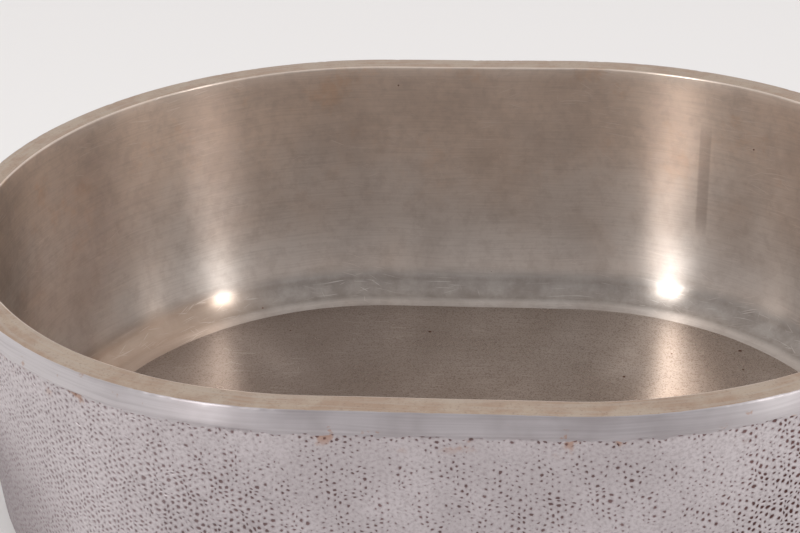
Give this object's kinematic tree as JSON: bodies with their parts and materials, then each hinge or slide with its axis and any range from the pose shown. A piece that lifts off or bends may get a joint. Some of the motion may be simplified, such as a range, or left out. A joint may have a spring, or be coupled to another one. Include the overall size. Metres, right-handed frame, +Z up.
{
  "type": "oval roasting pan",
  "caption": "Deep oval roasting pan in thick cast aluminium with a pitted outside, a smooth rim band and hinged drop handles at the ends.",
  "frame": {"origin": "centre of the flat underside, on the surface the pan rests on", "axes": "+X along the pan towards the right handle, +Y towards the rear, +Z up"},
  "size_m": [0.357, 0.2712, 0.104],
  "materials": {
    "pan_cast": "satin cast aluminium: pitted outside, brushed inside with heat stains",
    "ear_cast": "satin cast aluminium",
    "rivet_metal": "worn smooth aluminium",
    "handle_steel": "dull plated steel rod"
  },
  "bodies": {
    "pan": {"pan_body": "pan_cast", "ear_left_front": "ear_cast", "ear_left_rear": "ear_cast", "ear_right_front": "ear_cast", "ear_right_rear": "ear_cast", "rivet_left_front_upper": "rivet_metal", "rivet_left_front_lower": "rivet_metal", "rivet_left_rear_upper": "rivet_metal", "rivet_left_rear_lower": "rivet_metal", "rivet_right_front_upper": "rivet_metal", "rivet_right_front_lower": "rivet_metal", "rivet_right_rear_upper": "rivet_metal", "rivet_right_rear_lower": "rivet_metal"},
    "left_handle": {"handle_left": "handle_steel"},
    "right_handle": {"handle_right": "handle_steel"}
  },
  "joints": [
    {"name": "left_handle_swing", "type": "hinge", "parent": "pan", "child": "left_handle", "pos_m": [-0.17153, 0, 0.071], "axis": [0, 1, 0], "range_deg": [0, 90]},
    {"name": "right_handle_swing", "type": "hinge", "parent": "pan", "child": "right_handle", "pos_m": [0.17153, 0, 0.071], "axis": [0, -1, 0], "range_deg": [0, 90]}
  ]
}
